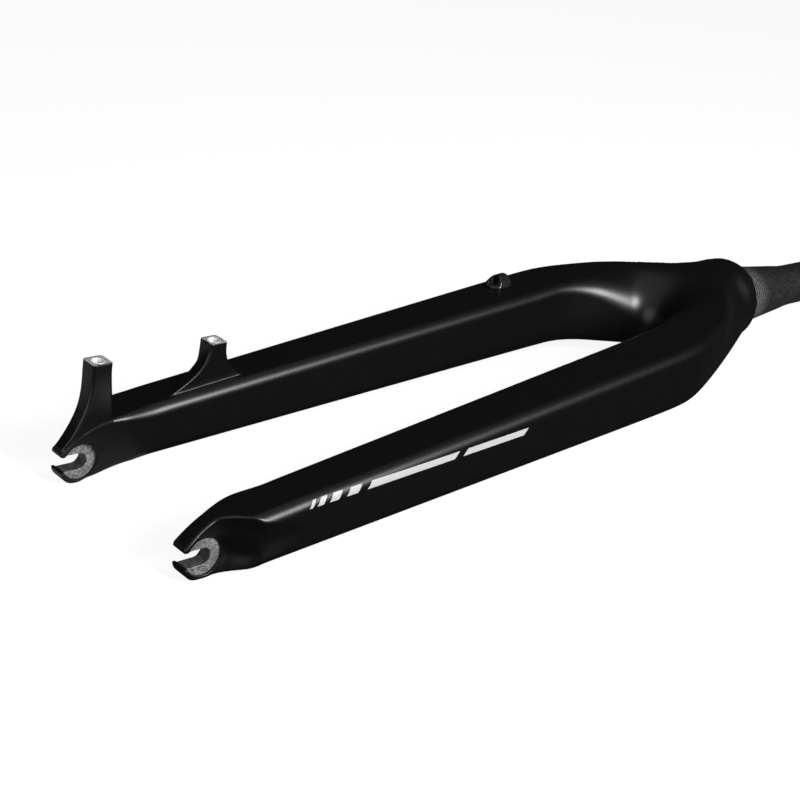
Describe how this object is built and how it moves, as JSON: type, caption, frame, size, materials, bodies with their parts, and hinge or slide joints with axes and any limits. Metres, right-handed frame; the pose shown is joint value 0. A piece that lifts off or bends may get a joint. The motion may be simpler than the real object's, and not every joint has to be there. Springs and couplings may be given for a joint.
{
  "type": "rigid bicycle fork",
  "caption": "Rigid suspension-free bicycle fork with straight boxy legs, a rounded wishbone crown, tapered steerer tube, post brake mounts on the left leg and open axle dropouts.",
  "frame": {"origin": "centre of the bounding box's bottom, on the floor that the fork lies on, front down", "axes": "+X from the dropouts towards the steerer's end, +Y towards the bicycle's left leg with the brake posts, +Z towards the bicycle's rear, straight up off the floor"},
  "size_m": [0.8034, 0.1474, 0.0647],
  "materials": {
    "body_paint": "satin black paint over moulded carbon fibre",
    "bare_carbon": "bare sanded carbon fibre",
    "insert_metal": "turned",
    "guide_plastic": "glossy black"
  },
  "bodies": {
    "root": {"fork_body": "body_paint", "steerer_tube": "bare_carbon", "post_insert_lower": "insert_metal", "post_insert_upper": "insert_metal", "hose_guide": "guide_plastic"}
  },
  "joints": []
}
